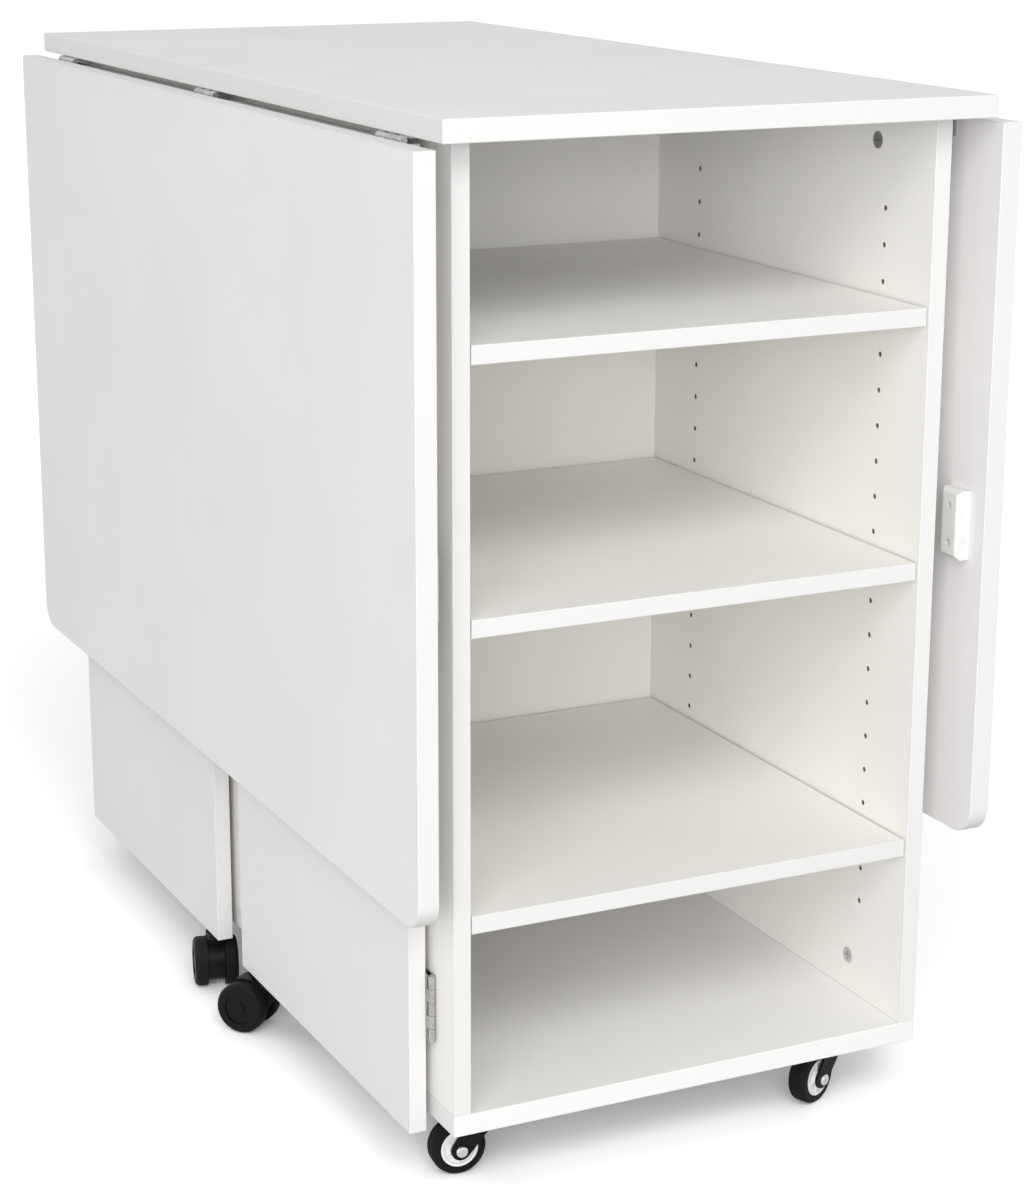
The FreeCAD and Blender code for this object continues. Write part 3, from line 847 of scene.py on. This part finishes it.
@dataclass(frozen=True)
class ScrewPlaces:
    """Where the screws sit: hinge, gate stop and caster plate sizes in metres."""

    leaf_pin_x: float = 0.2551
    leaf_pin_z: float = 0.8986
    leaf_hinge_y: Sequence[float] = (-0.425, 0.0, 0.425)
    leaf_hinge_spread: float = 0.015
    gate_pin_x: float = 0.2344
    gate_pin_y: float = 0.448
    gate_hinge_z: Sequence[float] = (0.1685, 0.47425, 0.78)
    gate_hinge_spread: float = 0.018
    plate_middle: float = 0.0107
    plate_face: float = 0.0019
    stop_seat_x: float = 0.2535
    stop_y: float = 0.4819
    stop_z: float = 0.5486
    stop_spread: float = 0.01674
    caster_x: float = 0.1755
    caster_y: float = 0.427
    caster_spread: float = 0.022
    caster_seat_z: float = 0.0615
    recess_turns: Sequence[float] = (37.0, 111.0, 259.0)

    def facing(self, seat: Sequence[float], crown: Vector) -> Matrix:
        """Place a head.

        Args:
            seat: where the head rests.
            crown: the way its crown looks.

        Returns:
            The matrix that puts a head there, its recess at a turn of its own.
        """
        place = Vector(seat)
        turn = sum(rate * value for rate, value in zip(self.recess_turns, place))
        return aimed(place, crown) @ Matrix.Rotation(turn, 4, "Z")

    def leaf_row(self, x: float, z: float) -> list[tuple[float, float, float]]:
        """The seats of a row of leaf hinge screws at one distance across and one height."""
        spread = self.leaf_hinge_spread
        return [(x, y + way * spread, z) for y in self.leaf_hinge_y for way in BOTH_WAYS]

    def under_top(self) -> list[Matrix]:
        """Place the heads on the leaf hinges' fixed plates, under the top.

        Returns:
            The places of the heads.
        """
        z = self.leaf_pin_z + self.plate_face
        x = self.leaf_pin_x - self.plate_middle
        return [self.facing(seat, DOWN) for side in Side for seat in self.leaf_row(side.value * x, z)]

    def on_sides(self) -> list[Matrix]:
        """Heads of the gate hinges' fixed plates, on the side panels."""
        x = self.gate_pin_x - self.plate_face
        return [m for end in End for side in Side for m in self.gate_row(end, side, x, side.value)]

    def on_gate(self, end: End, side: Side) -> list[Matrix]:
        """Heads of one gate's own hinge plates."""
        return self.gate_row(end, side, self.gate_pin_x + self.plate_face, -side.value)

    def gate_row(self, end: End, side: Side, x: float, way: int) -> list[Matrix]:
        """Place a column of gate hinge screws.

        Args:
            end: the gate's end.
            side: the gate's side.
            x: the seats' distance from the middle plane.
            way: the way along X that the crowns look.

        Returns:
            The places of the heads.
        """
        y = end.value * (self.gate_pin_y - self.plate_middle)
        crown = Vector((way, 0, 0))
        return [
            self.facing((side.value * x, y, z + step * self.gate_hinge_spread), crown)
            for z in self.gate_hinge_z
            for step in BOTH_WAYS
        ]

    def on_leaf(self, side: Side) -> list[Matrix]:
        """Place the heads on one leaf: its hinge plates, then its gate stops.

        Args:
            side: the leaf's side.

        Returns:
            The places of the heads.
        """
        inward = Vector((-side.value, 0, 0))
        hinge_x = side.value * (self.leaf_pin_x + self.plate_face)
        hinges = self.leaf_row(hinge_x, self.leaf_pin_z - self.plate_middle)
        stop_x = side.value * self.stop_seat_x
        stops = [
            (stop_x, end.value * self.stop_y, self.stop_z + way * self.stop_spread)
            for end in End
            for way in BOTH_WAYS
        ]
        return [self.facing(seat, inward) for seat in hinges + stops]

    def under_base(self) -> list[Matrix]:
        """Place the heads of the caster plates' screws.

        Returns:
            The places of the heads.
        """
        corners = [(side.value * self.caster_x, end.value * self.caster_y) for side in Side for end in End]
        steps = [(i * self.caster_spread, j * self.caster_spread) for i in BOTH_WAYS for j in BOTH_WAYS]
        return [
            self.facing((x + right, y + back, self.caster_seat_z), DOWN)
            for x, y in corners
            for right, back in steps
        ]


@dataclass
class SubAssembly:
    """A group of pieces that is built and dressed together."""

    frame: Mapping[str, Any]
    finishes: Finishes
    screws: ScrewPlaces = ScrewPlaces()

    def build(self) -> None:
        """Build and dress the group's pieces."""
        raise NotImplementedError

    def dress(self, node: str, material: bpy.types.Material) -> None:
        """Finish a node of the frame."""
        paint(self.frame["nodes"][node], material)
        LOG.info("dressed %s", node)

    def dress_board(self, board: Board, finish: Melamine) -> None:
        """Finish a board."""
        self.dress(board.node, finish.material(board))

    def fit(self, piece: bpy.types.Object, body: str, slot: str, material: bpy.types.Material) -> None:
        """Finish a new piece and fix it to a body.

        Args:
            piece: the piece, in place.
            body: the body that it moves with.
            slot: not used.
            material: its finish.
        """
        paint(piece, material)
        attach(piece, body)
        LOG.info("built %s on %s", piece.name, body)

    def fit_screws(self, head: ScrewHead, places: Sequence[Matrix], name: str, body: str) -> None:
        """Model screw heads of one kind as a piece that moves with a body."""
        self.fit(Workshop.copies(head.model(), places, name), body, "zinc_steel", self.finishes.zinc)


@dataclass
class Cabinet(SubAssembly):
    """The fixed carcass: top, base, sides, divider, shelves and fittings."""

    body: str = "cabinet"

    def build(self) -> None:
        """Dress the carcass and add its screw heads."""
        finishes = self.finishes
        self.dress_board(Board("top_panel", Axis.Z), finishes.top)
        self.dress_board(Board("base_panel", Axis.Z), finishes.base)
        self.dress_board(Board("centre_divider", Axis.Y), finishes.inside)
        for side in Side:
            self.dress_board(Board(side.word + "_side_panel", Axis.X), finishes.inside)
        for end in End:
            for level in ("upper", "middle", "lower"):
                self.dress_board(Board(f"{end.word}_{level}_shelf", Axis.Z), finishes.inside)
        for node in ("shelf_pins", "cam_bolts", "base_caster_plates", "cabinet_screws"):
            self.dress(node, finishes.zinc)
        for node in ("cabinet_hinge_plates", "hinge_pins"):
            self.dress(node, finishes.nickel)
        self.dress("cam_locks", finishes.cams)
        hinge_heads = self.screws.under_top() + self.screws.on_sides()
        self.fit_screws(WOOD_SCREW, hinge_heads, "cabinet_hinge_screw_heads", self.body)
        self.fit_screws(PLATE_SCREW, self.screws.under_base(), "caster_plate_screw_heads", self.body)


@dataclass
class DropLeaf(SubAssembly):
    """A leaf with its hinge plates and gate stops."""

    side: Side = Side.LEFT
    corner: float = 0.025

    def build(self) -> None:
        """Dress the leaf and add its screw heads."""
        word = self.side.word
        self.dress_board(Board(word + "_leaf_panel", Axis.X, self.corner), self.finishes.swung)
        self.dress(word + "_leaf_hinge_plates", self.finishes.nickel)
        self.dress(word + "_gate_stops", self.finishes.stop)
        places = self.screws.on_leaf(self.side)
        self.fit_screws(WOOD_SCREW, places, word + "_leaf_screw_heads", word + "_leaf")


@dataclass
class CornerAssembly(SubAssembly):
    """A sub-assembly that each corner of the cabinet has one of."""

    end: End = End.FRONT
    side: Side = Side.LEFT
    ending: str = ""

    @property
    def name(self) -> str:
        """The start of its node names."""
        return f"{self.end.word}_{self.side.word}_{self.ending}"


@dataclass
class SwingGate(CornerAssembly):
    """A gate with its hinge plates."""

    ending: str = "gate"

    def build(self) -> None:
        """Dress the gate and add its screw heads."""
        self.dress_board(Board(self.name + "_panel", Axis.X), self.finishes.swung)
        self.dress(self.name + "_hinge_plates", self.finishes.nickel)
        places = self.screws.on_gate(self.end, self.side)
        self.fit_screws(WOOD_SCREW, places, self.name + "_screw_heads", self.name)


@dataclass
class ForkCaster(CornerAssembly):
    """A single-wheel caster under the base, its hub stiffened by moulded ribs."""

    ending: str = "caster"
    rib_count: int = 6
    rib_inner: float = 0.0066
    rib_outer: float = 0.0149
    rib_width: float = 0.0017
    rib_rise: float = 0.0012
    rib_sink: float = 0.0002
    rib_ease: float = 0.0004
    rib_ease_steps: int = 2
    dish_floor: float = 0.0065
    hub: WheelPlastic = WheelPlastic(
        "white_hub",
        disc=(0.84, 0.84, 0.84),
        tread=(0.82, 0.815, 0.81),
        rim_radius=0.0165,
        polish=0.26,
        gloss=0.45,
    )
    tyre: WheelPlastic = WheelPlastic(
        "black_tyre",
        disc=(0.005, 0.005, 0.0053),
        tread=(0.011, 0.0108, 0.0105),
        rim_radius=0.0236,
        polish=0.42,
    )

    def rib(self) -> bpy.types.Object:
        """Model one rib on the +X ray of a hub whose axle is Z.

        Returns:
            The rib.
        """
        size = (self.rib_outer - self.rib_inner, self.rib_width, self.rib_rise + self.rib_sink)
        middle = (self.rib_inner + self.rib_outer) / 2
        rib = Workshop.block(size, (middle, 0, self.dish_floor + (self.rib_rise - self.rib_sink) / 2))
        Workshop.ease_top(rib, self.rib_ease, self.rib_ease_steps)
        return rib

    def ribs(self, wheel: WheelPlace) -> bpy.types.Object:
        """Copy the rib round both faces of the hub.

        Args:
            wheel: where the wheel is.

        Returns:
            All the hub's ribs as one piece.
        """
        seat = aimed(wheel.centre, wheel.axle)
        places = []
        for flip in (0.0, math.pi):
            over = Matrix.Rotation(flip, 4, "X")
            for number in range(self.rib_count):
                turn = Matrix.Rotation(2 * math.pi * (number + 0.5) / self.rib_count, 4, "Z")
                places.append(seat @ over @ turn)
        return Workshop.copies(self.rib(), places, self.name + "_hub_ribs")

    def build(self) -> None:
        """Dress the caster and add the hub's ribs."""
        wheel = WheelPlace.of_joint(self.frame["joints"], self.name + "_roll")
        self.dress(self.name + "_fork", self.finishes.powder)
        self.dress(self.name + "_axle", self.finishes.chrome)
        hub = self.hub.material(wheel, self.name)
        self.dress(self.name + "_hub", hub)
        self.dress(self.name + "_tyre", self.tyre.material(wheel, self.name))
        self.fit(self.ribs(wheel), self.name + "_wheel", "white_hub", hub)


@dataclass
class TwinCaster(CornerAssembly):
    """A hooded twin-wheel caster under a gate."""

    ending: str = "gate_caster"
    wheel: WheelPlastic = WheelPlastic(
        "black_twin_wheel",
        disc=(0.005, 0.005, 0.0053),
        tread=(0.011, 0.0108, 0.0105),
        rim_radius=0.0243,
        polish=0.3,
        ring_pitch=0.0024,
    )

    def build(self) -> None:
        """Dress the hood and both wheels."""
        self.dress(self.name + "_hood", self.finishes.hood)
        for number in ("1", "2"):
            place = WheelPlace.of_joint(self.frame["joints"], f"{self.name}_roll_{number}")
            node = f"{self.name}_wheel_{number}"
            self.dress(node, self.wheel.material(place, node))


@dataclass(frozen=True)
class SoftBox:
    """A soft box: its place, width and height, power, and whether shiny pieces mirror it."""

    name: str
    place: Sequence[float]
    size: Span
    watts: float
    gleam: bool = False

    def hang(self, target: Vector) -> None:
        """Hang the lamp.

        Args:
            target: the point that it faces.
        """
        light = bpy.data.lights.new(self.name, "AREA")
        light.shape = "RECTANGLE"
        light.size, light.size_y = self.size
        light.energy = self.watts
        lamp = bpy.data.objects.new(self.name, light)
        lamp.visible_glossy = self.gleam
        place = Vector(self.place)
        lamp.matrix_world = aimed(place, target - place, "-Z")
        bpy.context.scene.collection.objects.link(lamp)


LAMPS = (
    SoftBox("key_soft_box", place=(-3.5, -6.1, 4.2), size=(6.0, 5.0), watts=294.0),
    SoftBox("bay_soft_box", place=(-4.1, -6.7, 1.3), size=(7.0, 2.4), watts=240.0),
    SoftBox("shelf_soft_box", place=(-0.6, -4.0, 3.8), size=(1.6, 1.6), watts=44.0, gleam=True),
    SoftBox("rear_soft_box", place=(-4.6, 5.6, 3.0), size=(6.0, 4.0), watts=95.0),
    SoftBox("side_soft_box", place=(6.4, -0.6, 2.6), size=(5.0, 4.0), watts=70.0),
)


@dataclass
class Studio:
    """White floor, soft light and the photo's camera."""

    floor_reach: float = 60.0
    floor_drop: float = 0.0002
    floor_tone: float = 0.5
    floor_near: float = 1.32
    floor_far: float = 2.2
    floor_fade: Span = (0.9, 3.5)
    floor_mirrored: float = 0.9
    floor_polish: float = 0.9
    ambient: Colour = (0.47, 0.468, 0.463)
    target: Sequence[float] = (0.0, 0.0, 0.5)
    eye: Sequence[float] = (-1.1191, -2.4255, 1.1247)
    azimuth: float = 25.932
    elevation: float = -15.365
    roll: float = 0.169
    lens: float = 83.31
    sensor: float = 36.0

    def floor(self) -> None:
        """Lay a floor that looks white and keeps the table's shadow."""
        Workshop.clear_choice()
        bpy.ops.mesh.primitive_plane_add(size=self.floor_reach, location=(0, 0, -self.floor_drop))
        floor = bpy.context.object
        floor.name = "studio_floor"
        shader = Shader("studio_floor")
        camera, mirrored = shader.rays()
        along, across, _ = shader.axes()
        distance = (along * along + across * across).root()
        seen = self.floor_near + (self.floor_far - self.floor_near) * distance.rise(*self.floor_fade)
        shown = camera * (seen - self.floor_tone) + mirrored * (self.floor_mirrored - self.floor_tone)
        bright = self.floor_tone + shown
        colour = shader.add("ShaderNodeCombineColor", {}, {0: bright, 1: bright, 2: bright})
        shader.set(base_color=colour, roughness=self.floor_polish, specular_ior_level=0.0)
        paint(floor, shader.material)

    def world(self) -> None:
        """Light everything evenly, against white."""
        world = bpy.data.worlds.new("studio")
        bpy.context.scene.world = world
        world.use_nodes = True
        nodes = Nodes(world.node_tree)
        camera, mirrored = nodes.rays()
        colour = nodes.mix(self.ambient, WHITE, camera.most(mirrored))
        background = nodes.add("ShaderNodeBackground", {}, {0: colour})
        nodes.node("ShaderNodeOutputWorld", {}, {0: background})

    def camera(self) -> None:
        """Stand the camera where the photo was taken from."""
        lens = bpy.data.cameras.new("photo_camera")
        lens.lens = self.lens
        lens.sensor_width = self.sensor
        lens.sensor_fit = "AUTO"
        camera = bpy.data.objects.new("photo_camera", lens)
        aim = Euler((math.radians(90 + self.elevation), 0, math.radians(-self.azimuth))).to_matrix()
        turned = aim @ Matrix.Rotation(math.radians(self.roll), 3, "Z")
        camera.matrix_world = Matrix.Translation(self.eye) @ turned.to_4x4()
        bpy.context.scene.collection.objects.link(camera)
        bpy.context.scene.camera = camera

    def build(self) -> None:
        """Set up floor, world, lamps, camera and view."""
        self.floor()
        self.world()
        for lamp in LAMPS:
            lamp.hang(Vector(self.target))
        self.camera()
        bpy.context.scene.view_settings.view_transform = "Standard"


def main() -> None:
    """Load the frame, build and dress each sub-assembly, set up the studio and log the count."""
    logging.basicConfig(level=logging.INFO, format="%(name)s: %(message)s")
    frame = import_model()
    finishes = Finishes()
    parts: list[SubAssembly] = [Cabinet(frame, finishes)]
    parts += [DropLeaf(frame, finishes, side=side) for side in Side]
    for end in End:
        for side in Side:
            parts.append(SwingGate(frame, finishes, end=end, side=side))
            parts.append(TwinCaster(frame, finishes, end=end, side=side))
            parts.append(ForkCaster(frame, finishes, end=end, side=side))
    for part in parts:
        part.build()
    Studio().build()
    LOG.info("built %d sub-assemblies", len(parts))


if __name__ == "__main__":
    main()
